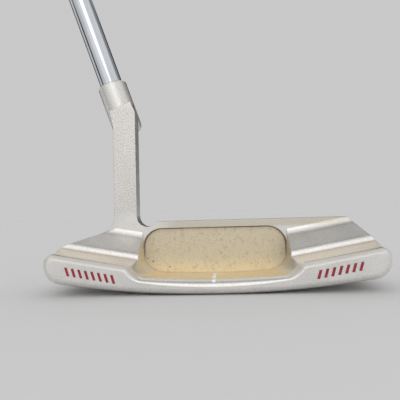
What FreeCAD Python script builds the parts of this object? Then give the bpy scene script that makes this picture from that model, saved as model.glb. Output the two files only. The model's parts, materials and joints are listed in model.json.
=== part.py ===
"""Blade putter: a one-piece milled head with a plumber's neck, a stepped steel shaft and a pistol grip.

Millimetres. +X runs from heel to toe, +Y is the way the ball leaves the face, +Z is up.
The origin is the lowest point of the sole, under the sight line. The back of the blade and
the back of the neck lie in the plane y = 0. The club stands soled, at its playing lie.
"""
import FreeCAD
import Part
import math
import os

V = FreeCAD.Vector

# Blade and flange
HALF_LENGTH = 60.0          # heel or toe end, from the sight line
TOPLINE_HEIGHT = 25.0
TOPLINE_THICKNESS = 6.5     # blade thickness at the topline
LOFT = 3.5                  # degrees
FLANGE_DEPTH = 20.15        # from the back of the blade to the back of the flange
SOLE_CAMBER = 350.0         # sole radius, heel to toe
END_RADIUS = 6.4            # lower corner of the heel and toe ends
BACK_EDGE_RADIUS = 2.2      # round the ends and the sole edge of the flange's back
LIP_END_RADIUS = 3.7        # where the lip runs off the ends
LIP_END_RISE = 0.1          # how fast that rounding climbs towards the face
LIP_END_LIFT = 0.3          # of its centre above the widest point of the ends
LIP_END_MARGIN = 0.08       # how far it would stand proud of the ends
LIP_END_ENTRY = 5.0         # degrees above level where it begins
SHELF_END_RISE = 0.31       # how fast the ends of the shelf climb from the lip to the riser

# Heel and toe outlines above the ends
TOE_CORNER_X = 51.5         # where the topline stops
TOE_SLOPE = 1.376
TOE_RADIUS = 8.0
HEEL_FOOT_HEIGHT = 22.63    # of the sloping heel, under the neck's left side
HEEL_SLOPE = 0.33
HEEL_RADIUS = 7.0

# Pocket milled into the back
# Sagging floors: height in the middle, half width, height where the corners start
POCKET_FLOOR = (4.2, 21.0, 4.9)
RISER_FLOOR = (4.95, 21.0, 5.65)
# Also corner radius, lean of the sides, radius of their roll, lean where it meets the shoulder
DIP_FRONT = RISER_FLOOR + (7.5, 85.0, 0.5, 60.0)
DIP_CREST = (5.3, 24.0, 6.1, 6.0, 52.0, 3.0, 14.0)
DIP_BACK = (2.9, 25.0, 4.7, 8.5, 50.0, 1.2, 14.0)
ROLL_SECTIONS = 5           # over the lip, where the middle of the flange rolls over
POCKET_HALF_WIDTH = 28.1
POCKET_TOP = 22.4
POCKET_WAIST = 14.5         # height where its two milling passes meet
POCKET_RADIUS = 7.5
POCKET_DEPTH = 2.1          # past the back of the blade, towards the face

# Shoulders beside the pocket, as they are at its side walls
SHOULDER_INNER = 24.3       # the shoulder passes start this far from the middle
SHOULDER_RISE = 0.176       # slope of every shoulder line, rising outwards
SHOULDER_TOP = 20.95
SHOULDER_DROP = -75.0       # degrees, as the hollow leaves the blade's back
SHOULDER_HOLLOW = 5.0       # radius under the blade's back
SHOULDER_HOLLOW_TURN = 42.0
SHOULDER_ROLL = 3.0         # radius over the riser
SHOULDER_ROLL_TURN = 52.0
RISER_FOOT = (10.1, 11.5)   # distance behind the blade, height
SHELF_BACK = (15.6, 9.25)   # a shallow valley in front of the lip
LIP_RADIUS = 3.337
LIP_RISE = 31.4             # degrees, where the lip leaves the valley
LIP_TURN = 88.8             # degrees

# Plumber's neck
NECK_LEFT = -39.3
NECK_RIGHT = -30.35
NECK_TOP = [(-39.1, 63.3), (-40.4, 69.8), (-32.0, 73.2), (-30.2, 68.9)]
NECK_THICKNESS = TOPLINE_THICKNESS
NECK_FOOT = 8.0             # how deep its foot block goes under the topline
NECK_HEEL_HOLLOW = (-46.3, 27.7, 7.0)   # centre and radius
NECK_TOE_HOLLOW = (-26.1, 27.2, 4.2)
NECK_FRONT_HOLLOW = 6.0     # radius under the bridge to the collar
NECK_BRIDGE = 61.9          # underside of the bridge
BRIDGE_HEEL_SIDE = -2.4     # from the shaft's axis
BRIDGE_TOE_SIDE = 4.0
BRIDGE_TOP = 14.0           # below the collar's top
BRIDGE_FOOT = 20.5
BRIDGE_INSET = 0.5          # inside the post's left side
LIE = 71.1                  # degrees
COLLAR_TOP = V(-42.34, 12.0, 83.4)
COLLAR_RADIUS = 6.15
COLLAR_LENGTH = 22.3
COLLAR_FOOT_RADIUS = 3.4
COLLAR_RIM = 0.4
BORE_RADIUS = 4.85
BORE_DEPTH = 18.0
EPOXY_RECESS = 0.2          # below the collar's top

# Shaft
CLUB_LENGTH = 864.0         # 34 inches, from the ground to the end of the grip
TIP_RADIUS = 4.7
BUTT_RADIUS = 7.37
SHAFT_WALL = 0.6
TIP_GAP = 0.5               # above the bottom of the bore
TIP_SECTION = 150.0         # plain tube before the first step
STEP_COUNT = 13
STEP_PITCH = 28.0
STEP_TAPER = 1.5

# Grip, measured from its end
GRIP_LENGTH = 267.0
TAPE_THICKNESS = 0.15
TAPE_LENGTH = 255.0
# From the end: half width, corner radius, depth, distance from the axis to the flat
GRIP_SECTIONS = [
    (0.0, 12.6, 5.0, 31.0, 11.6),
    (22.0, 12.6, 5.0, 30.4, 11.6),
    (60.0, 12.2, 5.0, 27.0, 11.4),
    (105.0, 11.8, 5.2, 24.2, 11.0),
    (160.0, 11.2, 5.6, 22.4, 10.4),
    (220.0, 10.1, 6.4, 19.6, 9.5),
    (GRIP_LENGTH, 9.2, 7.2, 17.8, 8.8),
]
CAP_THICKNESS = 4.0
CAP_PLUG_LENGTH = 6.0
CAP_PLUG_GAP = 0.05         # round the plug, inside the shaft
CAP_EDGE = 1.5
VENT_RADIUS = 1.5

# Filled marks
SIGHT_LINE_WIDTH = 1.3
SIGHT_LINE_DEPTH = 0.35
SIGHT_LINE_STRETCHES = [(-1.9, 16.8), (17.7, 19.3)]     # front and back, behind the blade
MARK_DEPTH = 0.4
MARK_RECESS = 0.1
BAR_WIDTH = 0.95
BAR_HEIGHT = 3.0
BAR_LEAN = 0.9              # sideways shift of a bar's top
BAR_PITCH = 2.3
HEEL_MARK = (-50.9, 8.85, 8)    # middle of the outermost bar, number of bars
TOE_MARK = (49.3, 8.85, 7)

FAR = 80.0                  # past the head on every side

shaft_axis = V(-math.cos(math.radians(LIE)), 0, math.sin(math.radians(LIE)))
thumb_side = V(math.sin(math.radians(LIE)), 0, math.cos(math.radians(LIE)))

tip_depth = BORE_DEPTH - TIP_GAP
above_collar = CLUB_LENGTH - COLLAR_TOP.z / shaft_axis.z - CAP_THICKNESS
shaft_length = above_collar + tip_depth
shaft_tip = COLLAR_TOP - shaft_axis * tip_depth
grip_end = COLLAR_TOP + shaft_axis * above_collar


class Path:
    """A chain of straight and round stretches in one plane, walked like a pen."""

    def __init__(self, place, start, heading=0.0):
        self.place = place
        self.here = start
        self.heading = heading
        self.edges = []

    def to(self, *points):
        for point in points:
            self.edges.append(Part.makeLine(self.place(*self.here), self.place(*point)))
            step = (point[0] - self.here[0], point[1] - self.here[1])
            self.heading = math.degrees(math.atan2(step[1], step[0]))
            self.here = point

    def through(self, middle, end):
        arc = Part.Arc(self.place(*self.here), self.place(*middle), self.place(*end))
        self.edges.append(arc.toShape())
        self.here = end

    def ahead(self, radius, turn):
        """The point reached after a turn of so many degrees, left if positive."""
        side = math.copysign(radius, turn)
        first = math.radians(self.heading)
        last = math.radians(self.heading + turn)
        return (self.here[0] + side * (math.sin(last) - math.sin(first)),
                self.here[1] + side * (math.cos(first) - math.cos(last)))

    def bend(self, radius, turn):
        self.through(self.ahead(radius, turn / 2), self.ahead(radius, turn))
        self.heading += turn

    def wire(self):
        return Part.Wire(self.edges)

    def face(self):
        return Part.Face(self.wire())


def in_xz(y=0.0):
    return lambda x, z: V(x, y, z)


def back_and_up(x=0.0):
    return lambda back, z: V(x, -back, z)


def box(low, high):
    size = V(*high) - V(*low)
    return Part.makeBox(size.x, size.y, size.z, V(*low))


def along_y(x, z, radius):
    return Part.makeCylinder(radius, 2 * FAR, V(x, -FAR, z), V(0, 1, 0))


def mirrored(shape):
    return shape.mirror(V(0, 0, 0), V(1, 0, 0))


# ---- head ------------------------------------------------------------------------------

def end_corner():
    """The lower end corner: its widest point, its middle and its foot, tangent to the sole."""
    reach = SOLE_CAMBER - END_RADIUS
    centre = (HALF_LENGTH - END_RADIUS,
              SOLE_CAMBER - math.sqrt(reach ** 2 - (HALF_LENGTH - END_RADIUS) ** 2))
    foot_angle = math.atan2(centre[1] - SOLE_CAMBER, centre[0])
    return [(centre[0] + END_RADIUS * math.cos(angle), centre[1] + END_RADIUS * math.sin(angle))
            for angle in (0.0, foot_angle / 2, foot_angle)]


def end_shoulder(radius, slope, corner):
    """Where a sloping outline, through a corner, starts to turn down into the end."""
    x = HALF_LENGTH - radius * (1 - math.sin(math.atan(slope)))
    return (x, corner[1] - slope * (x - corner[0]))


def head_outline():
    """The head seen from behind, without its neck."""
    widest, middle, foot = end_corner()
    toe = end_shoulder(TOE_RADIUS, TOE_SLOPE, (TOE_CORNER_X, TOPLINE_HEIGHT))
    heel = end_shoulder(HEEL_RADIUS, HEEL_SLOPE, (-NECK_LEFT, HEEL_FOOT_HEIGHT))
    path = Path(in_xz(-FLANGE_DEPTH), (NECK_LEFT, TOPLINE_HEIGHT))
    path.to((TOE_CORNER_X, TOPLINE_HEIGHT), toe)
    path.bend(TOE_RADIUS, -90 - path.heading)
    path.to(widest)
    path.through(middle, foot)
    path.through((0, 0), (-foot[0], foot[1]))
    path.through((-middle[0], middle[1]), (-widest[0], widest[1]))
    round_height = HEEL_RADIUS * math.cos(math.atan(HEEL_SLOPE))
    path.to((-HALF_LENGTH, heel[1] - round_height))
    path.bend(HEEL_RADIUS, math.degrees(math.atan(HEEL_SLOPE)) - 90)
    path.to((NECK_LEFT, HEEL_FOOT_HEIGHT), (NECK_LEFT, TOPLINE_HEIGHT))
    return path.face()


def face_cutter():
    """Everything in front of the lofted face."""
    lean = math.tan(math.radians(LOFT))
    top = TOPLINE_THICKNESS - (FAR - TOPLINE_HEIGHT) * lean
    bottom = TOPLINE_THICKNESS + (FAR + TOPLINE_HEIGHT) * lean
    path = Path(back_and_up(-FAR), (-bottom, -FAR))
    path.to((-top, FAR), (-FAR, FAR), (-FAR, -FAR), (-bottom, -FAR))
    return path.face().extrude(V(2 * FAR, 0, 0))


def shoulder_cutter():
    """The toe-side milling pass: hollow, roll-over, riser, shelf and lip in one profile."""
    path = Path(back_and_up(), (0.0, SHOULDER_TOP), heading=SHOULDER_DROP)
    path.bend(SHOULDER_HOLLOW, SHOULDER_HOLLOW_TURN)
    heading = path.heading
    roll = Path(back_and_up(), (0.0, 0.0), heading).ahead(SHOULDER_ROLL, -SHOULDER_ROLL_TURN)
    path.to((RISER_FOOT[0] - roll[0], RISER_FOOT[1] - roll[1]))
    path.heading = heading
    path.bend(SHOULDER_ROLL, -SHOULDER_ROLL_TURN)
    path.to(SHELF_BACK)
    path.heading = LIP_RISE
    path.bend(LIP_RADIUS, -LIP_TURN)
    path.to((FAR, path.here[1]), (FAR, FAR), (0.0, FAR), (0.0, SHOULDER_TOP))
    inner = SHOULDER_INNER - POCKET_HALF_WIDTH
    profile = path.face()
    profile.translate(V(SHOULDER_INNER, 0, inner * SHOULDER_RISE))
    return profile.extrude(V(FAR, 0, FAR * SHOULDER_RISE))


def lip_envelope():
    """Rounds the lip off at both ends: all that may stay of it, and all of what is before it."""
    radius = LIP_END_RADIUS
    centre = (HALF_LENGTH - radius + LIP_END_MARGIN, end_corner()[0][1] + LIP_END_LIFT)
    entry = math.radians(LIP_END_ENTRY)
    low = (centre[0] + radius * math.cos(entry), centre[1] + radius * math.sin(entry))
    drop = FAR / 4
    foot = (low[0] + drop * math.tan(entry), low[1] - drop)
    top = centre[1] + radius
    path = Path(in_xz(-FLANGE_DEPTH), (-foot[0], foot[1]))
    path.to(foot, low)
    path.bend(radius, 90 - LIP_END_ENTRY)
    path.to((-centre[0], top))
    path.bend(radius, 90 - LIP_END_ENTRY)
    path.to((-foot[0], foot[1]))
    reach = FLANGE_DEPTH - SHELF_BACK[0] + 1
    prism = path.face().extrude(V(0, reach, reach * LIP_END_RISE))
    back_rim = [edge for edge in prism.Edges
                if edge.BoundBox.YMax < 0.001 - FLANGE_DEPTH and edge.BoundBox.ZMax > foot[1] + 1]
    prism = prism.makeFillet(BACK_EDGE_RADIUS, back_rim)
    return prism.fuse(box((-FAR, -SHELF_BACK[0], -FAR), (FAR, FAR, FAR)))


def shelf_end_cutters():
    """What is milled off both ends beside the shelf, so that the lip stands proud of them."""
    front, back = RISER_FOOT[0], SHELF_BACK[0]
    outline = head_outline()
    outline.translate(V(0, FLANGE_DEPTH - front, 0))
    kept = outline.extrude(V(0, front - back, (front - back) * SHELF_END_RISE))
    inner = HALF_LENGTH - TOE_RADIUS
    low = end_corner()[0][1] - END_RADIUS / 4
    return [box((min(side * inner, side * FAR), -back, low),
                (max(side * inner, side * FAR), -front, FAR)).cut(kept) for side in (-1, 1)]


def shelf_height(back):
    """Height of the shelf or the lip, as it is at the pocket's side walls."""
    if back <= SHELF_BACK[0]:
        share = (back - RISER_FOOT[0]) / (SHELF_BACK[0] - RISER_FOOT[0])
        return RISER_FOOT[1] + share * (SHELF_BACK[1] - RISER_FOOT[1])
    rise = math.radians(LIP_RISE)
    along = (back - SHELF_BACK[0]) / LIP_RADIUS - math.sin(rise)
    return SHELF_BACK[1] + LIP_RADIUS * (math.sqrt(1 - along ** 2) - math.cos(rise))


def saddle_section(back, middle_height, half_width, corner_height, corner_radius, wall, roll, out):
    """The pocket's lower half or the dip behind it: a sagging floor, and two sides that roll over.

    The floor ends at half_width, corner_height. Each side then leans so many degrees up, and
    from a roll of the given radius it leaves at a lower lean, just where it meets the shoulder.
    """
    floor_end = math.degrees(2 * math.atan2(corner_height - middle_height, half_width))
    turn = wall - floor_end
    path = Path(in_xz(-back), (half_width, corner_height), heading=floor_end)
    corner_middle = path.ahead(corner_radius, turn / 2)
    corner_end = path.ahead(corner_radius, turn)
    path = Path(in_xz(-back), corner_end, heading=wall)
    over = path.ahead(roll, out - wall)
    lean = math.radians(wall)
    wanted = shelf_height(back) + SHOULDER_RISE * (over[0] - POCKET_HALF_WIDTH) - over[1]
    climb = wanted / (math.sin(lean) - SHOULDER_RISE * math.cos(lean))
    roll_start = (corner_end[0] + climb * math.cos(lean), corner_end[1] + climb * math.sin(lean))
    path = Path(in_xz(-back), roll_start, heading=wall)
    roll_middle = path.ahead(roll, (out - wall) / 2)
    roll_end = path.ahead(roll, out - wall)
    reach = (POCKET_WAIST - roll_end[1]) / math.tan(math.radians(out))
    rim = (roll_end[0] + reach, POCKET_WAIST)
    right = [corner_middle, corner_end, roll_start, roll_middle, roll_end, rim]
    left = [(-x, z) for x, z in reversed(right)]
    path = Path(in_xz(-back), left[0])
    path.to(left[1])
    path.through(left[2], left[3])
    path.to(left[4])
    path.through(left[5], (-half_width, corner_height))
    path.through((0, middle_height), (half_width, corner_height))
    path.through(right[0], right[1])
    path.to(right[2])
    path.through(right[3], right[4])
    path.to(right[5], left[0])
    return path.wire()


def pocket_floor_section(back, middle_height, half_width, corner_height):
    """The pocket's lower half before the riser's foot: a sagging floor and two upright walls."""
    floor_end = math.degrees(2 * math.atan2(corner_height - middle_height, half_width))
    path = Path(in_xz(-back), (half_width, corner_height), heading=floor_end)
    turn = 90 - floor_end
    middle = path.ahead(POCKET_RADIUS, turn / 2)
    end = path.ahead(POCKET_RADIUS, turn)
    path = Path(in_xz(-back), (-end[0], POCKET_WAIST))
    path.to((-end[0], end[1]))
    path.through((-middle[0], middle[1]), (-half_width, corner_height))
    path.through((0, middle_height), (half_width, corner_height))
    path.through(middle, end)
    path.to((end[0], POCKET_WAIST), (-end[0], POCKET_WAIST))
    return path.wire()


def saddle_cutters():
    """The pocket's lower half, the dip behind it, and the roll over the flange's back edge."""
    pocket = pocket_floor_section(-POCKET_DEPTH, *POCKET_FLOOR)
    step = pocket_floor_section(RISER_FOOT[0], *RISER_FLOOR)
    dip_front = saddle_section(RISER_FOOT[0], *DIP_FRONT)
    rolls = []
    for index in range(ROLL_SECTIONS):
        angle = math.radians(90 * index / (ROLL_SECTIONS - 1))
        back = SHELF_BACK[0] + (FLANGE_DEPTH - SHELF_BACK[0]) * math.sin(angle)
        shape = [crest + (last - crest) * (1 - math.cos(angle))
                 for crest, last in zip(DIP_CREST, DIP_BACK)]
        rolls.append(saddle_section(back, *shape))
    front = Part.makeLoft([pocket, step], True, True)
    dip = Part.makeLoft([dip_front, rolls[0]], True, True)
    roll = Part.makeLoft(rolls, True, False)
    behind = Part.Face(rolls[-1]).extrude(V(0, -FAR, 0))
    return [front, dip, roll, behind]


def pocket_upper():
    """The pocket above its waist, with round top corners."""
    path = Path(in_xz(POCKET_DEPTH), (POCKET_HALF_WIDTH, POCKET_WAIST), heading=90)
    path.to((POCKET_HALF_WIDTH, POCKET_TOP - POCKET_RADIUS))
    path.bend(POCKET_RADIUS, 90)
    path.to((POCKET_RADIUS - POCKET_HALF_WIDTH, POCKET_TOP))
    path.bend(POCKET_RADIUS, 90)
    path.to((-POCKET_HALF_WIDTH, POCKET_WAIST), (POCKET_HALF_WIDTH, POCKET_WAIST))
    return path.face().extrude(V(0, -FAR, 0))


def neck_outline():
    """The neck seen from behind, with a foot block that the hollows beside it are cut from."""
    heel_x, heel_z, radius = NECK_HEEL_HOLLOW
    heel_x += radius * math.sin(math.atan(HEEL_SLOPE))
    toe_x, toe_z, _ = NECK_TOE_HOLLOW
    foot = TOPLINE_HEIGHT - NECK_FOOT
    path = Path(in_xz(), (heel_x, foot))
    path.to((heel_x, heel_z), (NECK_LEFT, heel_z), *NECK_TOP)
    path.to((NECK_RIGHT, toe_z), (toe_x, toe_z), (toe_x, foot), (heel_x, foot))
    return path.face()


def bridge_outline():
    """The narrower web, seen from behind, that carries the collar in front of the post."""
    corners = [down_collar(distance) + thumb_side * side
               for distance, side in ((BRIDGE_TOP, BRIDGE_TOE_SIDE),
                                      (BRIDGE_FOOT, BRIDGE_TOE_SIDE),
                                      (BRIDGE_FOOT, BRIDGE_HEEL_SIDE),
                                      (BRIDGE_TOP, BRIDGE_HEEL_SIDE))]
    top_right, low_right, low_left, top_left = [(corner.x, corner.z) for corner in corners]
    foot = NECK_BRIDGE - 2 * NECK_FRONT_HOLLOW
    left = NECK_LEFT + BRIDGE_INSET
    path = Path(in_xz(), top_right)
    path.to(low_right, (low_right[0], foot), (left, foot), (left, NECK_TOP[0][1] - BRIDGE_INSET),
            low_left, top_left, top_right)
    return path.face()


def neck_side():
    """The neck seen from its toe side: a post, and a bridge forward to the collar."""
    path = Path(lambda forward, z: V(-FAR, forward, z), (0.0, 0.0))
    path.to((NECK_THICKNESS, 0.0), (NECK_THICKNESS, NECK_BRIDGE - NECK_FRONT_HOLLOW))
    path.bend(NECK_FRONT_HOLLOW, -90)
    path.to((COLLAR_TOP.y, NECK_BRIDGE), (COLLAR_TOP.y, FAR), (0.0, FAR), (0.0, 0.0))
    return path.face().extrude(V(2 * FAR, 0, 0))


def down_collar(distance):
    return COLLAR_TOP - shaft_axis * distance


def beside_axis(start):
    """Places (radius, distance along the shaft's axis) on the plane of heel, toe and axis."""
    return lambda radius, along: start + thumb_side * radius + shaft_axis * along


def turned(path, start):
    return path.face().revolve(start, shaft_axis, 360)


def collar():
    foot = down_collar(COLLAR_LENGTH)
    path = Path(beside_axis(foot), (0.0, 0.0))
    path.to((COLLAR_RADIUS - COLLAR_FOOT_RADIUS, 0.0))
    path.bend(COLLAR_FOOT_RADIUS, 90)
    path.to((COLLAR_RADIUS, COLLAR_LENGTH - COLLAR_RIM),
            (COLLAR_RADIUS - COLLAR_RIM, COLLAR_LENGTH), (0.0, COLLAR_LENGTH), (0.0, 0.0))
    return turned(path, foot)


def neck():
    post = neck_outline().extrude(V(0, NECK_THICKNESS, 0))
    for x, z, radius in (NECK_HEEL_HOLLOW, NECK_TOE_HOLLOW):
        post = post.cut(along_y(x, z, radius))
    bridge = bridge_outline().extrude(V(0, COLLAR_TOP.y, 0)).common(neck_side())
    return post.fuse([bridge, collar()])


def head_body():
    """The head before its bore and its filled marks are cut."""
    body = head_outline().extrude(V(0, FLANGE_DEPTH + 2 * TOPLINE_THICKNESS, 0))
    back_rim = [edge for edge in body.Edges
                if edge.BoundBox.YMax < 0.001 - FLANGE_DEPTH
                and edge.BoundBox.ZMin < HALF_LENGTH / 5]
    body = body.makeFillet(BACK_EDGE_RADIUS, back_rim).common(lip_envelope())
    shoulder = shoulder_cutter()
    for cutter in [face_cutter(), shoulder, mirrored(shoulder)] + shelf_end_cutters():
        body = body.cut(cutter)
    x, z, radius = NECK_TOE_HOLLOW
    dip = Part.makeCylinder(radius, FAR, V(x, -1, z), V(0, 1, 0))
    body = body.cut(dip).fuse(neck())
    blade_back = box((-POCKET_HALF_WIDTH, -FAR, POCKET_WAIST), (POCKET_HALF_WIDTH, 0, FAR))
    for cutter in [pocket_upper(), blade_back] + saddle_cutters():
        body = body.cut(cutter)
    return body.removeSplitter()


def sight_line(body):
    """White fill in a shallow groove over the flange, broken where the flange rolls over."""
    half = SIGHT_LINE_WIDTH / 2
    foot = BACK_EDGE_RADIUS + SIGHT_LINE_DEPTH
    below = body.copy()
    below.translate(V(0, SIGHT_LINE_DEPTH, -SIGHT_LINE_DEPTH))
    strips = []
    for front, back in SIGHT_LINE_STRETCHES:
        strip = box((-half, -back, foot), (half, -front, POCKET_WAIST))
        strips.append(body.common(strip).cut(below))
    return Part.makeCompound([solid for strip in strips for solid in strip.Solids])


def slanted_bars(mark, inwards, back, front):
    """A row of leaning bars that climbs with the shoulder line, from the outermost bar inwards."""
    x, z, count = mark
    half = BAR_WIDTH / 2
    bars = []
    for index in range(count):
        middle_x = x + inwards * BAR_PITCH * index
        middle_z = z - SHOULDER_RISE * BAR_PITCH * index
        lean = -inwards * BAR_LEAN / 2
        low = middle_z - BAR_HEIGHT / 2
        high = middle_z + BAR_HEIGHT / 2
        path = Path(in_xz(back), (middle_x - half - lean, low))
        path.to((middle_x + half - lean, low), (middle_x + half + lean, high),
                (middle_x - half + lean, high), (middle_x - half - lean, low))
        bars.append(path.face().extrude(V(0, front - back, 0)))
    return Part.makeCompound(bars)


def build_head():
    body = head_body()
    line = sight_line(body)
    bore = Part.makeCylinder(BORE_RADIUS, BORE_DEPTH + 1, down_collar(BORE_DEPTH), shaft_axis)
    body = body.cut(bore).cut(line)
    nodes = {"sight_line_paint": line}
    face = -FLANGE_DEPTH
    for name, mark, inwards in (("heel_mark_paint", HEEL_MARK, 1), ("toe_mark_paint", TOE_MARK, -1)):
        body = body.cut(slanted_bars(mark, inwards, face - 1, face + MARK_DEPTH))
        nodes[name] = slanted_bars(mark, inwards, face + MARK_RECESS, face + MARK_DEPTH)
    nodes["putter_head"] = body.Solids[0]
    return nodes


# ---- shaft -----------------------------------------------------------------------------

def ring(inner, outer, start, length):
    """A sleeve round the shaft's axis; start is its distance above the collar's top."""
    foot = COLLAR_TOP + shaft_axis * start
    sleeve = Part.makeCylinder(outer, length, foot, shaft_axis)
    return sleeve.cut(Part.makeCylinder(inner, length, foot, shaft_axis))


def shaft():
    """A drawn steel tube whose radius grows in short steps from the tip to the butt."""
    growth = (BUTT_RADIUS - TIP_RADIUS) / STEP_COUNT
    profile = [(TIP_RADIUS, 0.0)]
    for step in range(STEP_COUNT):
        along = TIP_SECTION + STEP_PITCH * step
        profile.append((TIP_RADIUS + growth * step, along))
        profile.append((TIP_RADIUS + growth * (step + 1), along + STEP_TAPER))
    profile.append((BUTT_RADIUS, shaft_length))
    inside = [(radius - SHAFT_WALL, along) for radius, along in reversed(profile)]
    path = Path(beside_axis(shaft_tip), profile[0])
    path.to(*profile[1:], *inside, profile[0])
    return turned(path, shaft_tip)


# ---- grip ------------------------------------------------------------------------------

def grip_section(from_end, half_width, corner, depth, front):
    """A flat for the thumbs, two corners, two sides and a round back, across the shaft."""
    centre = grip_end - shaft_axis * from_end
    side = depth - corner - half_width
    path = Path(lambda u, v: centre + V(0, 1, 0) * u + thumb_side * v,
                (corner - half_width, front))
    path.to((half_width - corner, front))
    path.bend(corner, -90)
    path.to((half_width, front - corner - side))
    path.bend(half_width, -180)
    path.to((-half_width, front - corner))
    path.bend(corner, -90)
    return path.wire()


def grip():
    bore = Part.makeCylinder(BUTT_RADIUS + TAPE_THICKNESS, 2 * GRIP_LENGTH,
                             grip_end - shaft_axis * (1.5 * GRIP_LENGTH), shaft_axis)
    body = Part.makeLoft([grip_section(*section) for section in GRIP_SECTIONS], True, False)
    return body.cut(bore)


def grip_cap():
    """A moulded end with a plug inside the shaft and a vent hole through both."""
    rim = Part.Face(grip_section(*GRIP_SECTIONS[0])).extrude(shaft_axis * CAP_THICKNESS)
    top = [edge for edge in rim.Edges
           if (edge.CenterOfMass - grip_end).dot(shaft_axis) > CAP_THICKNESS - 0.01]
    rim = rim.makeFillet(CAP_EDGE, top)
    plug_foot = grip_end - shaft_axis * CAP_PLUG_LENGTH
    plug = Part.makeCylinder(BUTT_RADIUS - SHAFT_WALL - CAP_PLUG_GAP, CAP_PLUG_LENGTH,
                             plug_foot, shaft_axis)
    vent = Part.makeCylinder(VENT_RADIUS, 4 * CAP_PLUG_LENGTH,
                             plug_foot - shaft_axis * CAP_PLUG_LENGTH, shaft_axis)
    return rim.fuse(plug).cut(vent).removeSplitter()


def build():
    nodes = build_head()
    nodes["shaft"] = shaft()
    nodes["hosel_epoxy"] = ring(TIP_RADIUS, BORE_RADIUS, -tip_depth, tip_depth - EPOXY_RECESS)
    nodes["grip_tape"] = ring(BUTT_RADIUS, BUTT_RADIUS + TAPE_THICKNESS,
                              above_collar - TAPE_LENGTH, TAPE_LENGTH)
    nodes["grip"] = grip()
    nodes["grip_cap"] = grip_cap()
    return nodes


if __name__ == "__main__":
    os.makedirs("parts", exist_ok=True)
    for name, shape in build().items():
        shape.exportStep(f"parts/{name}.step")
        print(name, shape.isValid(), len(shape.Solids), round(shape.Volume, 1), shape.BoundBox)
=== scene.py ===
"""Looks for the blade putter: satin milled steel, filled marks, chrome shaft, moulded rubber grip."""
import json
import math

import bpy
from mathutils import Matrix, Vector
from mathutils.bvhtree import BVHTree


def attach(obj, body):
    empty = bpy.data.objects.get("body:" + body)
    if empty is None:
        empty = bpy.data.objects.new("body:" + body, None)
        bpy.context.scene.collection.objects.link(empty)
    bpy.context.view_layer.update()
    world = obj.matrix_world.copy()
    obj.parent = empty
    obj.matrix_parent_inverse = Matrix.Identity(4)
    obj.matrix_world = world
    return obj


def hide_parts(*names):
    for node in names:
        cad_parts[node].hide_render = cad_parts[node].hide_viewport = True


MM = 0.001

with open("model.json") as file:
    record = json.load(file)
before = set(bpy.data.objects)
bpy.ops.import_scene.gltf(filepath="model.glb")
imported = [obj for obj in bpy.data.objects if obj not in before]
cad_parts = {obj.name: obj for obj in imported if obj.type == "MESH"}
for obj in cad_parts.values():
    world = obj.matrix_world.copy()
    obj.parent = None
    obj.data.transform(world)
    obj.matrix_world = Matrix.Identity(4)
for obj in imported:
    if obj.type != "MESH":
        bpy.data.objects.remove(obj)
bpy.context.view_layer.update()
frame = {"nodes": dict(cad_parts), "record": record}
nodes = frame["nodes"]
mounts = {mount["name"]: mount for mount in frame["record"]["mounts"]}
shaft_axis = Vector(mounts["grip_hold"]["axis"]).normalized()
axis_point = Vector(mounts["grip_hold"]["pos_m"])
blade_side = Vector((0, 1, 0))
thumb_side = blade_side.cross(shaft_axis)


# ---- shader graphs ---------------------------------------------------------------------

EDGE_TURN = (0.995, 0.93)       # cosines of the turn at which an edge starts and is fully worn


def rgb(red, green, blue):
    return (red, green, blue, 1.0)


def grey(value):
    return rgb(value, value, value)


def mm(*values):
    return tuple(value * MM for value in values)


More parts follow.
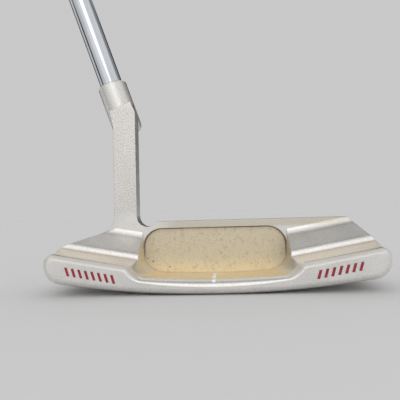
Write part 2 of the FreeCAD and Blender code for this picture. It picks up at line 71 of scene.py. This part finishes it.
class Graph:
    """Short words for the shader nodes that everything here is built from."""

    def __init__(self, tree, coordinates):
        self.tree = tree
        self.place = self.node("TexCoord").outputs[coordinates]

    def node(self, kind, **settings):
        made = self.tree.nodes.new("ShaderNode" + kind)
        for key, value in settings.items():
            setattr(made, key, value)
        return made

    def put(self, socket, value):
        """Join another node's output to the socket, or give it a plain value."""
        if isinstance(value, bpy.types.NodeSocket):
            self.tree.links.new(value, socket)
        else:
            socket.default_value = value

    def fill(self, sockets, values):
        for socket, value in zip(sockets, values):
            self.put(socket, value)

    def math(self, operation, *values):
        made = self.node("Math", operation=operation)
        self.fill(made.inputs, values)
        return made.outputs[0]

    def vectors(self, operation, first, second):
        """The number that an operation makes of two vectors."""
        made = self.node("VectorMath", operation=operation)
        self.fill(made.inputs, (first, second))
        return made.outputs["Value"]

    def xyz(self, vector):
        made = self.node("SeparateXYZ")
        self.put(made.inputs[0], vector)
        return made.outputs

    def stretched(self, scale, place=None):
        made = self.node("Mapping")
        self.put(made.inputs["Vector"], place or self.place)
        made.inputs["Scale"].default_value = scale
        return made.outputs[0]

    def noise(self, size, detail=3.0, roughness=0.6, place=None):
        """Noise whose grains are about size metres across, between 0 and 1."""
        made = self.node("TexNoise")
        self.put(made.inputs["Vector"], place or self.place)
        made.inputs["Scale"].default_value = 1 / size
        made.inputs["Detail"].default_value = detail
        made.inputs["Roughness"].default_value = roughness
        return made.outputs[0]

    def times(self, *values):
        """All the values multiplied together."""
        product = values[0]
        for value in values[1:]:
            product = self.math("MULTIPLY", product, value)
        return product

    def ramp(self, value, nothing, full):
        """A smooth step: 0 where the value is nothing, 1 where it is full."""
        made = self.node("MapRange", interpolation_type="SMOOTHSTEP")
        self.fill(made.inputs, (value, nothing, full))
        return made.outputs[0]

    def window(self, value, start, full, still_full, end):
        """1 from full to still_full, fading to 0 at start and at end."""
        return self.times(self.ramp(value, start, full), self.ramp(value, end, still_full))

    def mix(self, share, first, second):
        """The first colour, turning into the second as the share goes from 0 to 1."""
        made = self.node("Mix", data_type="RGBA")
        self.fill((made.inputs[0], made.inputs[6], made.inputs[7]), (share, first, second))
        return made.outputs[2]

    def coats(self, colour, *coats):
        """The colour under coats of others: each a mask, how much of it shows, and its colour."""
        for mask, share, over in coats:
            colour = self.mix(self.times(mask, share), colour, over)
        return colour

    def changed(self, value, *changes):
        """The value with changes added: each a mask and the change where the mask is 1."""
        for mask, change in changes:
            value = self.math("MULTIPLY_ADD", mask, change, value)
        return value

    def bump(self, height, distance, strength, normal=None):
        made = self.node("Bump")
        self.put(made.inputs["Height"], height)
        made.inputs["Distance"].default_value = distance
        made.inputs["Strength"].default_value = strength
        if normal:
            self.put(made.inputs["Normal"], normal)
        return made.outputs[0]

    def openness(self, distance, samples):
        """1 on an open face, less where other faces stand within the distance."""
        made = self.node("AmbientOcclusion", samples=samples)
        made.inputs["Distance"].default_value = distance
        return made.outputs["AO"]

    def worn_edges(self, radius):
        """The rounded normal at every edge, and a mask of how far it turns from the flat one."""
        round_normal = self.node("Bevel", samples=4)
        round_normal.inputs["Radius"].default_value = radius
        flat_normal = self.node("NewGeometry").outputs["Normal"]
        turn = self.vectors("DOT_PRODUCT", round_normal.outputs[0], flat_normal)
        return round_normal.outputs[0], self.ramp(turn, *EDGE_TURN)


class Finish(Graph):
    """The graph of one material."""

    def __init__(self, name):
        self.material = bpy.data.materials.new(name)
        self.material.use_nodes = True
        super().__init__(self.material.node_tree, "Object")

    def finish(self, **sockets):
        shader = self.tree.nodes["Principled BSDF"]
        for name, value in sockets.items():
            self.put(shader.inputs[name.replace("_", " ").title().replace("Ior", "IOR")], value)
        return self.material


# ---- steel -----------------------------------------------------------------------------
# Where the parts of the head lie. x runs from heel to toe, y towards the face and z up; a
# width is measured from the middle of the head. Two numbers are where a mask is 0 and where
# it is 1, and four are where it is 0, 1, still 1, and 0 again.

FLANGE_HEIGHT = mm(19, 17)
NECK_HEIGHT = mm(26, 30, 70, 73)
POCKET_DEPTH = mm(0.8, 1.6, 3.0, 4.0)
POCKET_HEIGHT = mm(2.0, 3.5, 22.2, 22.8)
POCKET_WIDTH = mm(28.6, 28.0)
POCKET_LOW_EDGE = mm(12, 5)
SIDE_WALL_WIDTH = mm(31, 29)
CORNER_MIDDLE = (20.6 * MM, 14.9 * MM)      # x and z of the arc at the pocket's upper corner
CORNER_ARC = mm(6.85, 7.2)                  # how far from there the painted shadow line along the rim starts and is full
RIM_HEIGHT = mm(9, 14)
SHELF_DEPTH = mm(-17.4, -16.6)
DIP_WIDTH = mm(28, 25)
LIP_DEPTH = mm(-15.7, -16.3)
LIP_WIDTH = mm(24, 29)
TOPLINE_DEPTH = mm(-0.6, -0.1, 0.6, 2.0)
TOPLINE_RUN = mm(-24, -14)
TOPLINE_HEIGHT = mm(21.5, 23)

# How far up, or how far towards the toe, a face of each part looks: parts of a unit normal.

SHELF_UP = (0.80, 0.97)
LIP_UP = (0.42, 0.62, 0.90, 0.97)
CREST_UP = (0.90, 0.98)
UNDERSIDE_UP = (-0.02, -0.30)
TOEWARD = (0.5, 0.9)
HEELWARD = (-0.5, -0.9)

STEEL = rgb(0.87, 0.85, 0.82)
LIGHT_STEEL = rgb(0.92, 0.90, 0.87)
TAN = rgb(0.85, 0.75, 0.565)
# painted highlight: the pocket's floor is made lighter towards its bottom
LOW_POCKET_HIGHLIGHT = rgb(1.0, 0.85, 0.58)
SAND = rgb(0.90, 0.77, 0.59)
LIGHT_SAND = rgb(1.0, 0.87, 0.62)
# painted light and shade on the end walls of the dip: the heel-end wall, facing the toe, lit; the
# toe-end wall, facing the heel, shaded
HEEL_WALL_HIGHLIGHT = rgb(1.0, 0.93, 0.74)
TOE_WALL_SHADE = rgb(0.45, 0.39, 0.30)
# painted shade on the topline towards the toe
TOPLINE_SHADE = rgb(0.70, 0.645, 0.52)
FRECKLE = rgb(0.34, 0.31, 0.27)
STAIN = rgb(0.52, 0.40, 0.24)
PIT = rgb(0.10, 0.07, 0.05)
# painted shadow: a dark line round the top and sides of the pocket's rim
RIM_SHADE = rgb(0.10, 0.075, 0.05)
# painted shade, dark in corners and hollows
CORNER_SHADE = rgb(0.20, 0.16, 0.11)
# painted highlight on the rounded lip at the back of the flange
LIP_HIGHLIGHT = rgb(1.0, 0.96, 0.90)
# painted shade: a dark line along the lip's crest
CREST_SHADE = rgb(0.42, 0.38, 0.33)
RUBBED_STEEL = rgb(0.93, 0.91, 0.86)

PIT_WOBBLE = 0.5 * MM
PIT_EDGE = (1.25, 0.75)         # where a pit starts and is full, as parts of its radius
PITS = [                        # x, y, z and radius in millimetres
    (-26.6, 2.1, 10.4, 0.5),
    (-24.6, 2.1, 9.2, 0.5),
    (-18.0, 2.1, 6.9, 0.6),
    (-13.3, 0.5, 4.6, 0.6),
    (-8.4, 1.0, 4.5, 0.8),
    (-23.7, 0.8, 5.3, 0.65),
    (-45.0, -15.8, 12.9, 0.4),
    (-40.5, -14.6, 12.3, 0.35),
    (16.0, -15.0, 5.6, 0.35),
]


def pit_mask(g):
    """1 inside any of the small round pits, whose edges are a little ragged."""
    total = 0.0
    wobble = g.noise(PIT_WOBBLE)
    for *middle, radius in PITS:
        far = g.vectors("DISTANCE", g.place, mm(*middle))
        ragged = g.math("MULTIPLY_ADD", wobble, radius * MM, far)
        spot = g.ramp(ragged, *(part * radius * MM for part in PIT_EDGE))
        total = g.math("MAXIMUM", spot, total)
    return total


def rim_shade_mask(g, width, z):
    """1 past the pocket's top, its sides and the arcs between them, and 0 low down: where a painted
    shadow line runs round the pocket's rim.
    """
    corner_x, corner_z = CORNER_MIDDLE
    beyond_x = g.math("MAXIMUM", g.math("SUBTRACT", width, corner_x), 0.0)
    beyond_z = g.math("MAXIMUM", g.math("SUBTRACT", z, corner_z), 0.0)
    squared = g.math("MULTIPLY_ADD", beyond_x, beyond_x, g.times(beyond_z, beyond_z))
    return g.times(g.ramp(g.math("SQRT", squared), *CORNER_ARC), g.ramp(z, *RIM_HEIGHT))


def head_masks(g):
    """For each part of the head, a mask that is 1 on it and 0 elsewhere."""
    x, y, z = g.xyz(g.place)
    toeward, _, up = g.xyz(g.node("NewGeometry").outputs["Normal"])
    width = g.math("ABSOLUTE", x)
    flange = g.ramp(z, *FLANGE_HEIGHT)
    walls = g.times(flange, g.ramp(width, *SIDE_WALL_WIDTH))
    back = g.times(g.ramp(y, *LIP_DEPTH), flange, g.ramp(width, *LIP_WIDTH))
    pocket = g.times(g.window(y, *POCKET_DEPTH), g.window(z, *POCKET_HEIGHT),
                     g.ramp(width, *POCKET_WIDTH))
    return {
        "neck": g.window(z, *NECK_HEIGHT),
        "pocket": pocket,
        "low_edge": g.ramp(z, *POCKET_LOW_EDGE),
        # where the painted shadow line round the pocket's rim goes
        "rim": g.times(rim_shade_mask(g, width, z), pocket),
        "heel_wall": g.times(walls, g.ramp(toeward, *TOEWARD)),
        "toe_wall": g.times(walls, g.ramp(toeward, *HEELWARD)),
        "shelf": g.times(g.ramp(up, *SHELF_UP), flange, g.ramp(y, *SHELF_DEPTH)),
        "dip": g.ramp(width, *DIP_WIDTH),
        "lip": g.times(back, g.window(up, *LIP_UP)),
        "crest": g.times(back, g.ramp(up, *CREST_UP)),
        "underside": g.times(flange, g.ramp(up, *UNDERSIDE_UP)),
        "topline": g.times(g.window(y, *TOPLINE_DEPTH), g.ramp(x, *TOPLINE_RUN),
                           g.ramp(z, *TOPLINE_HEIGHT)),
    }


def milled_steel():
    """Bead-blasted stainless: fine grain everywhere, warmer and browner with a tan in the pocket and on
    the shelf, stains and pits, and painted light and shade: a painted highlight low in the pocket, a
    lit heel wall, a shaded toe wall and topline, a shadow line round the pocket, shade in corners, a
    highlight on the lip and a dark line on its crest.
    """
    g = Finish("milled_steel")
    at = head_masks(g)
    grain = g.noise(0.28 * MM, detail=2)
    specks = g.noise(0.42 * MM, detail=2, roughness=0.75)
    coarse = g.noise(0.7 * MM, detail=3)
    patches = g.noise(1.7 * MM, detail=5, roughness=0.7)
    cloud = g.noise(9 * MM, detail=3)
    rounded, edges = g.worn_edges(0.35 * MM)

    freckles = g.times(g.ramp(coarse, 0.56, 0.66), 0.12)
    freckles = g.changed(freckles, (g.ramp(grain, 0.52, 0.7), 0.14),
                         (g.ramp(specks, 0.44, 0.62), g.changed(0.20, (at["neck"], 0.34))))
    stains = g.times(g.ramp(patches, 0.50, 0.68), at["pocket"])
    # painted shade: darker where other faces stand close, in corners and hollows
    nook_shade = g.ramp(g.openness(1.1 * MM, samples=8), 0.75, 0.35)
    steel = g.coats(
        g.mix(g.ramp(cloud, 0.35, 0.65), STEEL, LIGHT_STEEL),
        # the pocket: tan, with a painted highlight that grows towards its bottom
        (at["pocket"], 1.0, g.mix(g.times(at["low_edge"], 0.75), TAN, LOW_POCKET_HIGHLIGHT)),
        (at["shelf"], g.changed(0.8, (at["dip"], 0.15)), g.mix(at["dip"], SAND, LIGHT_SAND)),
        # painted highlight on the heel-end wall and painted shade on the toe-end wall
        (at["heel_wall"], 0.7, HEEL_WALL_HIGHLIGHT),
        (at["toe_wall"], 0.5, TOE_WALL_SHADE),
        # painted shade on the topline
        (at["topline"], 0.8, TOPLINE_SHADE),
        (freckles, 1.0, FRECKLE),
        (stains, 0.42, STAIN),
        (pit_mask(g), 0.85, PIT),
        # painted shadow line round the pocket's rim
        (at["rim"], g.changed(0.35, (cloud, 0.8)), RIM_SHADE),
        # painted shade in corners and hollows
        (nook_shade, 0.6, CORNER_SHADE),
        # painted highlight on the lip
        (at["lip"], 0.7, LIP_HIGHLIGHT),
        # painted shade line on the lip's crest
        (at["crest"], 0.6, CREST_SHADE),
        (edges, 0.6, RUBBED_STEEL))
    rough = g.changed(0.34, (cloud, 0.10), (at["pocket"], 0.12), (at["neck"], 0.06), (at["lip"], 0.20),
                      (at["underside"], -0.14), (edges, -0.08), (g.math("SUBTRACT", grain, 0.5), 0.25))
    blast = g.bump(grain, 0.02 * MM, 0.5, rounded)
    blast = g.bump(coarse, 0.03 * MM, 0.35, blast)
    return g.finish(base_color=steel, metallic=1.0, roughness=rough, normal=blast)


# ---- paint, chrome and rubber ----------------------------------------------------------

RED = rgb(0.33, 0.010, 0.032)
THIN_RED = rgb(0.45, 0.025, 0.05)
WHITE = rgb(0.96, 0.96, 0.95)
THIN_WHITE = rgb(0.88, 0.87, 0.84)
DUST = rgb(0.45, 0.4, 0.36)
CHROME = rgb(0.68, 0.71, 0.75)
BRIGHT_CHROME = rgb(0.74, 0.77, 0.80)
DRAWING = (1, 1, 0.01)          # how the drawing lines are stretched, along the shaft
CREPE = (0.3, 0.3, 1)           # how the crepe ridges are stretched, round the shaft
BLACK = rgb(0.022, 0.022, 0.023)
WORN_BLACK = rgb(0.042, 0.041, 0.040)
RUBBER_GRAIN = rgb(0.09, 0.088, 0.085)
# painted shade, near black in the rubber's hollows
HOLLOW_SHADE = grey(0.004)
RESIN = rgb(0.10, 0.10, 0.09)
CLOUDY_RESIN = rgb(0.20, 0.19, 0.16)
PAPER = rgb(0.70, 0.64, 0.50)
PAPER_RIDGE = rgb(0.88, 0.84, 0.74)


def enamel(name, thick, thin):
    """Paint filled into a groove: a little uneven in depth, softly glossy."""
    g = Finish(name)
    flow = g.noise(0.9 * MM, detail=2)
    dust = g.noise(0.2 * MM, detail=1)
    rounded, edges = g.worn_edges(0.2 * MM)
    colour = g.coats(g.mix(g.ramp(flow, 0.35, 0.75), thick, thin),
                     (g.ramp(dust, 0.62, 0.74), 0.3, DUST), (edges, 0.25, thin))
    rough = g.changed(0.25, (flow, 0.25))
    skin = g.bump(flow, 0.05 * MM, 0.4, rounded)
    return g.finish(base_color=colour, roughness=rough, normal=skin)


def chrome():
    """Polished plate over a drawn tube: faint lengthwise drawing lines and a few dull smudges."""
    g = Finish("shaft_chrome")
    lean = g.node("VectorRotate", rotation_type="Y_AXIS")
    g.put(lean.inputs["Vector"], g.place)
    lean.inputs["Angle"].default_value = -shaft_axis.angle(Vector((0, 0, 1)))
    drawn = g.noise(0.5 * MM, detail=2, place=g.stretched(DRAWING, lean.outputs[0]))
    smudge = g.noise(14 * MM, detail=4)
    colour = g.mix(g.ramp(smudge, 0.3, 0.7), CHROME, BRIGHT_CHROME)
    rough = g.changed(0.045, (g.ramp(smudge, 0.45, 0.75), 0.07), (drawn, 0.03))
    line = g.bump(drawn, 0.002 * MM, 0.3)
    return g.finish(base_color=colour, metallic=1.0, roughness=rough, normal=line)


def rubber(name):
    """Moulded rubber: fine mould grain, dusty and shinier where it is held, with painted shade near
    black in its hollows.
    """
    g = Finish(name)
    grain = g.noise(0.35 * MM, detail=3)
    held = g.ramp(g.noise(30 * MM, detail=3), 0.42, 0.66)
    rounded, edges = g.worn_edges(0.4 * MM)
    # painted shade: near black where other faces stand close, in dimples, grooves and corners
    nook_shade = g.ramp(g.openness(1.2 * MM, samples=6), 0.95, 0.6)
    colour = g.coats(BLACK, (held, 0.3, WORN_BLACK), (g.ramp(grain, 0.6, 0.75), 0.2, RUBBER_GRAIN),
                     (nook_shade, 1.0, HOLLOW_SHADE), (edges, 0.3, WORN_BLACK))
    rough = g.changed(0.52, (held, -0.08), (grain, 0.1))
    skin = g.bump(grain, 0.03 * MM, 0.5, rounded)
    return g.finish(base_color=colour, roughness=rough, normal=skin, specular_ior_level=0.4)


def resin():
    """Cured shafting epoxy: dark, glossy, with trapped bubbles."""
    g = Finish("epoxy")
    bubble = g.noise(0.3 * MM, detail=2)
    colour = g.mix(g.ramp(bubble, 0.4, 0.7), RESIN, CLOUDY_RESIN)
    rough = g.changed(0.2, (bubble, 0.2))
    return g.finish(base_color=colour, roughness=rough, normal=g.bump(bubble, 0.05 * MM, 0.4))


def paper_tape():
    """Double-sided paper tape with crepe ridges round the shaft."""
    g = Finish("tape")
    crepe = g.noise(0.6 * MM, detail=3, place=g.stretched(CREPE))
    colour = g.mix(crepe, PAPER, PAPER_RIDGE)
    rough = g.changed(0.8, (crepe, 0.1))
    return g.finish(base_color=colour, roughness=rough, normal=g.bump(crepe, 0.08 * MM, 0.6))


def wear(piece, material):
    piece.data.materials.clear()
    piece.data.materials.append(material)


red = enamel("red_paint", RED, THIN_RED)
finishes = {
    "putter_head": milled_steel(),
    "sight_line_paint": enamel("white_paint", WHITE, THIN_WHITE),
    "heel_mark_paint": red,
    "toe_mark_paint": red,
    "hosel_epoxy": resin(),
    "shaft": chrome(),
    "grip_tape": paper_tape(),
    "grip_cap": rubber("cap_rubber"),
}
for name, material in finishes.items():
    wear(nodes[name], material)


# ---- grip ------------------------------------------------------------------------------

GRIP_ROWS = 560
GRIP_COLUMNS = 168
DIMPLE_PITCH = 3.4 * MM
DIMPLE_COLUMNS = 24
DIMPLE_RADIUS = 1.1 * MM
DIMPLE_DEPTH = 0.6 * MM
DIMPLE_WALL = 1.4               # how steep a dimple's wall is
PLAIN_END = 9 * MM
RING_GROOVES = (3.0 * MM, 5.0 * MM)     # from both ends
RING_WIDTH = 0.8 * MM
RING_DEPTH = 0.3 * MM
END_INSET = 0.02 * MM           # how far inside each end the end ring is measured
OUTSIDE = 60 * MM               # a distance from the axis that is well outside the grip
SHARP_EDGE = 50                 # degrees


def smooth(value):
    value = min(1.0, max(0.0, value))
    return value * value * (3 - 2 * value)


def along_axis(point):
    return (point - axis_point).dot(shaft_axis)


def moulding(along, length, arc, arc_total):
    """How deep the moulded pattern is, at a height on the grip and an arc from the back's middle."""
    from_end = min(along, length - along)
    depth = sum(RING_DEPTH * smooth(1 - abs(from_end - ring) / RING_WIDTH * 2)
                for ring in RING_GROOVES)
    if from_end < PLAIN_END:
        return depth
    row = round(along / DIMPLE_PITCH)
    pitch = arc_total / DIMPLE_COLUMNS
    shift = 0.5 * (row % 2)
    column = round(arc / pitch - shift) + shift
    distance = math.hypot(along - row * DIMPLE_PITCH, arc - column * pitch)
    return depth + DIMPLE_DEPTH * smooth(DIMPLE_WALL * (1 - distance / DIMPLE_RADIUS))


def grip_rings(tree, low, high):
    """Rings of points on the plain grip's skin, pressed in by the moulding."""
    length = high - low
    rings = []
    for row in range(GRIP_ROWS + 1):
        along = length * row / GRIP_ROWS
        inset = min(max(along, END_INSET), length - END_INSET)
        centre = axis_point + shaft_axis * (low + inset)
        ring = []
        for column in range(GRIP_COLUMNS):
            angle = 2 * math.pi * column / GRIP_COLUMNS
            way = blade_side * math.sin(angle) - thumb_side * math.cos(angle)
            hit = tree.ray_cast(centre + way * OUTSIDE, -way)[0]
            ring.append((hit, way))
        arcs = [0.0]
        for (here, _), (there, _) in zip(ring, ring[1:] + ring[:1]):
            arcs.append(arcs[-1] + (there - here).length)
        skin = [hit - way * moulding(along, length, arc, arcs[-1])
                for (hit, way), arc in zip(ring, arcs)]
        rings.append([point + shaft_axis * (along - inset) for point in skin])
    return rings


def mesh_piece(name, points, faces):
    mesh = bpy.data.meshes.new(name)
    mesh.from_pydata(points, [], faces)
    mesh.validate()
    piece = bpy.data.objects.new(name, mesh)
    bpy.context.scene.collection.objects.link(piece)
    mesh.polygons.foreach_set("use_smooth", [True] * len(mesh.polygons))
    return piece


def grip_skin():
    """The rubber sleeve as one closed mesh: moulded outside, plain bore inside."""
    plain = nodes["grip"].data
    tree = BVHTree.FromPolygons([v.co for v in plain.vertices], [p.vertices for p in plain.polygons])
    heights = [along_axis(v.co) for v in plain.vertices]
    radii = [(v.co - axis_point - shaft_axis * along_axis(v.co)).length for v in plain.vertices]
    low, high, bore = min(heights), max(heights), min(radii)
    rings = grip_rings(tree, low, high)
    for height in (high, low):
        centre = axis_point + shaft_axis * height
        rings.append([centre + bore * (blade_side * math.sin(a) - thumb_side * math.cos(a))
                      for a in (2 * math.pi * c / GRIP_COLUMNS for c in range(GRIP_COLUMNS))])
    count = GRIP_COLUMNS
    faces = []
    for row in range(len(rings)):
        above = (row + 1) % len(rings)
        for column in range(count):
            beside = (column + 1) % count
            faces.append((row * count + column, row * count + beside,
                          above * count + beside, above * count + column))
    return mesh_piece("grip_skin", [point for ring in rings for point in ring], faces)


grip = grip_skin()
wear(grip, rubber("grip_rubber"))
sharp = grip.modifiers.new("edges", "EDGE_SPLIT")
sharp.split_angle = math.radians(SHARP_EDGE)
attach(grip, "root")
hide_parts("grip")


# ---- stage -----------------------------------------------------------------------------

FLOOR_SIZE = 60.0
FLOOR_MOTTLE = 0.35
FLOOR_COLOUR = grey(0.60)
PALE_FLOOR_COLOUR = grey(0.62)
CAMERA_PLACE = Vector((4.46, -155.64, 28.66)) * MM
CAMERA_YAW = 3.51           # degrees, towards the heel
CAMERA_RISE = 1.61          # degrees above level
CAMERA_ROLL = 1.62          # degrees, clockwise
CAMERA_LENS = 35.79         # millimetres, on the usual 36 mm sensor
CAMERA_NEAR = 0.01
KEY_FROM = (-0.04, -1.0, 0.72)
KEY_SPREAD = 26             # degrees across
KEY_STRENGTH = 0.15
BACKDROP = grey(0.58)       # as the floor looks far away
TENT = grey(0.95)           # what lights matt things
OPEN_SKY = grey(0.646)      # what polished things show where none of the areas below is
FLAG = 0.033                # a dark flag, which puts a dark line along a polished edge

# The soft areas of the sky, the later over the earlier: the direction of the middle, how many
# degrees round it are full, at how many degrees the area ends, and its brightness.

SKY_AREAS = [
    ((0.35, 1, 1.9), 22, 66, 0.249),
    ((-0.05, 0.67, 0.75), 12, 26, 0.999),
    ((0.12, 0.87, 0.42), 6, 15, FLAG),
    ((0.30, 0.77, 0.52), 6, 12, FLAG),
    ((-0.28, 0.89, 0.34), 12, 22, FLAG),
    ((-0.66, 0.70, 0.24), 14, 20, FLAG),
    ((0.3, 1, 0.12), 18, 32, FLAG),
    ((0.65, -0.3, 0.69), 12, 34, 0.785),
    ((-1, -0.25, 0.1), 22, 58, 0.59),
    ((-0.985, -0.12, 0.135), 6, 10, FLAG),
    ((-0.10, -1, 0.05), 14, 52, 0.939),
    ((-0.05, -0.47, 0.88), 9, 19, 1.041),
    ((-0.05, -1, 0.8), 12, 32, 0.887),
]


def floor():
    half = FLOOR_SIZE / 2
    corners = [(-half, -half, 0), (half, -half, 0), (half, half, 0), (-half, half, 0)]
    ground = mesh_piece("floor", corners, [(0, 1, 2, 3)])
    g = Finish("floor")
    mottle = g.noise(FLOOR_MOTTLE, detail=2)
    grain = g.noise(0.6 * MM, detail=2)
    colour = g.mix(mottle, FLOOR_COLOUR, PALE_FLOOR_COLOUR)
    wear(ground, g.finish(base_color=colour, roughness=0.9, specular_ior_level=0.1,
                          normal=g.bump(grain, 0.02 * MM, 0.2)))


def key_light():
    """A wide white sun, weak beside the sky, so that the club stands on a soft shadow."""
    data = bpy.data.lights.new("key", "SUN")
    data.angle = math.radians(KEY_SPREAD)
    data.energy = KEY_STRENGTH
    lamp = bpy.data.objects.new("key", data)
    bpy.context.scene.collection.objects.link(lamp)
    lamp.rotation_mode = "QUATERNION"
    lamp.rotation_quaternion = (-Vector(KEY_FROM)).to_track_quat("-Z", "Y")


def studio_sky():
    """Soft, colourless light: an even tent for matt things, bright and dim areas for polished ones."""
    world = bpy.data.worlds.new("studio")
    bpy.context.scene.world = world
    world.use_nodes = True
    g = Graph(world.node_tree, "Generated")
    polished = OPEN_SKY
    for direction, full, end, brightness in SKY_AREAS:
        nearness = g.vectors("DOT_PRODUCT", g.place, Vector(direction).normalized())
        area = g.ramp(nearness, math.cos(math.radians(end)), math.cos(math.radians(full)))
        polished = g.mix(area, polished, grey(brightness))
    ray = g.node("LightPath").outputs
    lighting = g.mix(ray["Is Diffuse Ray"], polished, TENT)
    sky = g.mix(ray["Is Camera Ray"], lighting, BACKDROP)
    g.put(world.node_tree.nodes["Background"].inputs["Color"], sky)


def camera():
    data = bpy.data.cameras.new("camera")
    data.lens = CAMERA_LENS
    data.clip_start = CAMERA_NEAR
    yaw, rise, roll = (math.radians(a) for a in (CAMERA_YAW, CAMERA_RISE, CAMERA_ROLL))
    ahead = Vector((-math.sin(yaw) * math.cos(rise), math.cos(yaw) * math.cos(rise), math.sin(rise)))
    level = Vector((math.cos(yaw), math.sin(yaw), 0))
    right = level * math.cos(roll) - level.cross(ahead) * math.sin(roll)
    above = right.cross(ahead)
    seer = bpy.data.objects.new("camera", data)
    turn = Matrix((right, above, -ahead)).transposed()
    seer.matrix_world = Matrix.Translation(CAMERA_PLACE) @ turn.to_4x4()
    bpy.context.scene.collection.objects.link(seer)
    bpy.context.scene.camera = seer


floor()
studio_sky()
key_light()
camera()
bpy.context.scene.view_settings.view_transform = "Standard"
